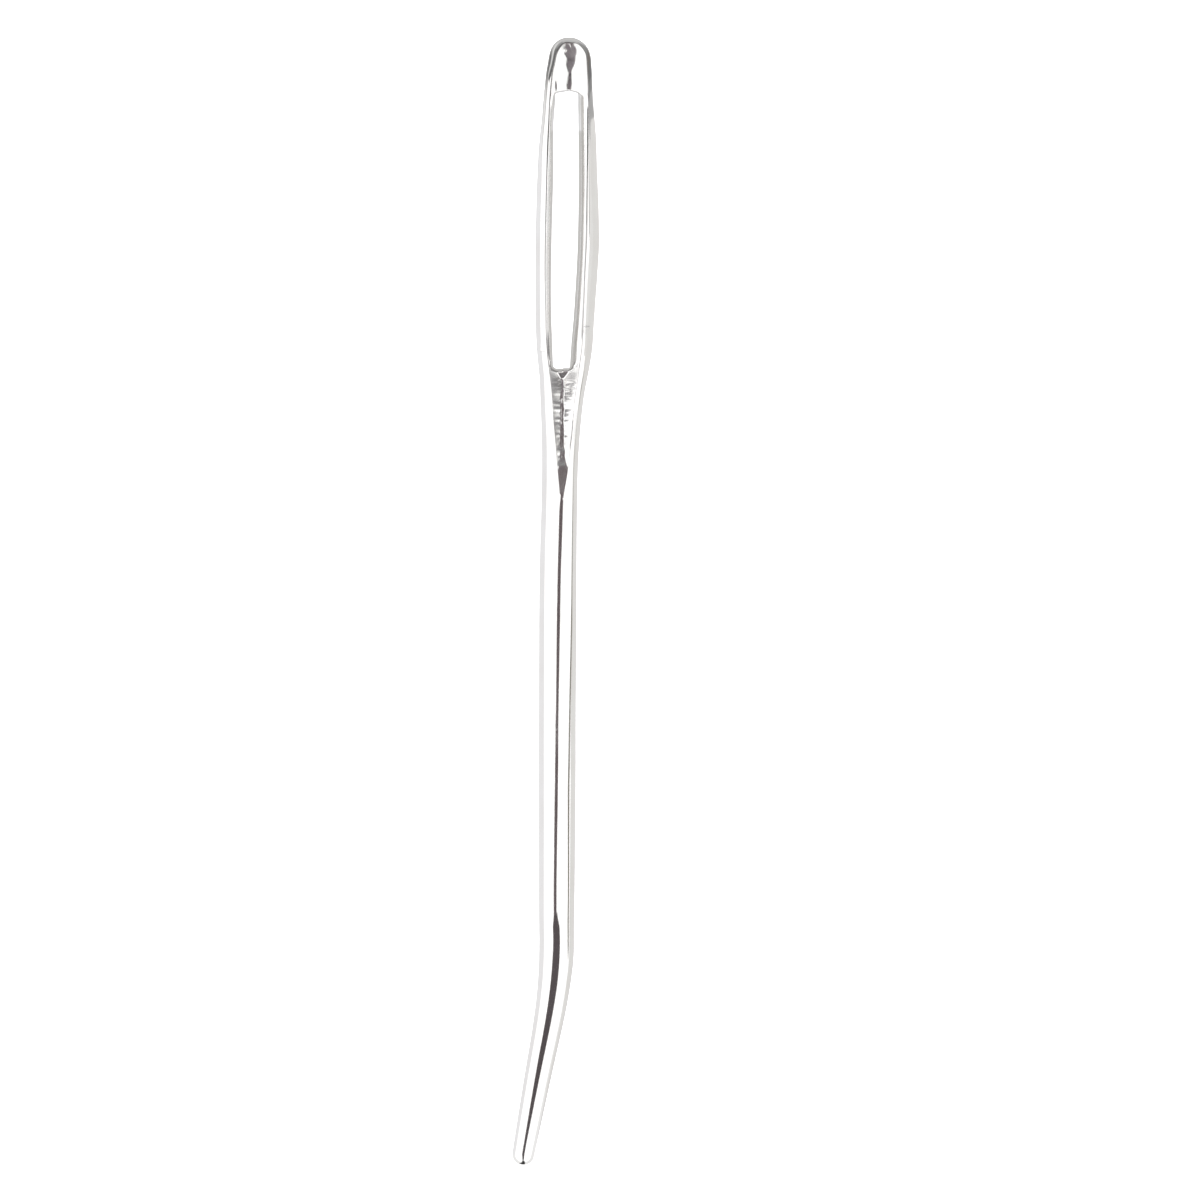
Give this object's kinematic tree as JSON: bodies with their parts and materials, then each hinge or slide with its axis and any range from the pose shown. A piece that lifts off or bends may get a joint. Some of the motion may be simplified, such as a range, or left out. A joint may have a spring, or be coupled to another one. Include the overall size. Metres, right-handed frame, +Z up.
{
  "type": "bent-tip yarn needle",
  "caption": "Blunt yarn needle with a long eye in a flattened grooved head, a round shank and a tip bent to one side, for weaving in ends and sewing up knitting.",
  "frame": {"origin": "middle of the needle's footprint, on the surface it lies on", "axes": "+Y along the needle, towards the crown and eye; +Z up from the surface, across the thickness, through the eye; +X to the right, away from the bent tip"},
  "size_m": [0.0052, 0.07, 0.0023],
  "materials": {
    "nickel_plate": "bright nickel plating over steel, polished, with fine lengthwise scratches"
  },
  "bodies": {
    "root": {"crown": "nickel_plate", "eye_wall_left": "nickel_plate", "eye_wall_right": "nickel_plate", "gutter_neck": "nickel_plate", "shank": "nickel_plate", "bend": "nickel_plate", "tip": "nickel_plate"}
  },
  "joints": []
}
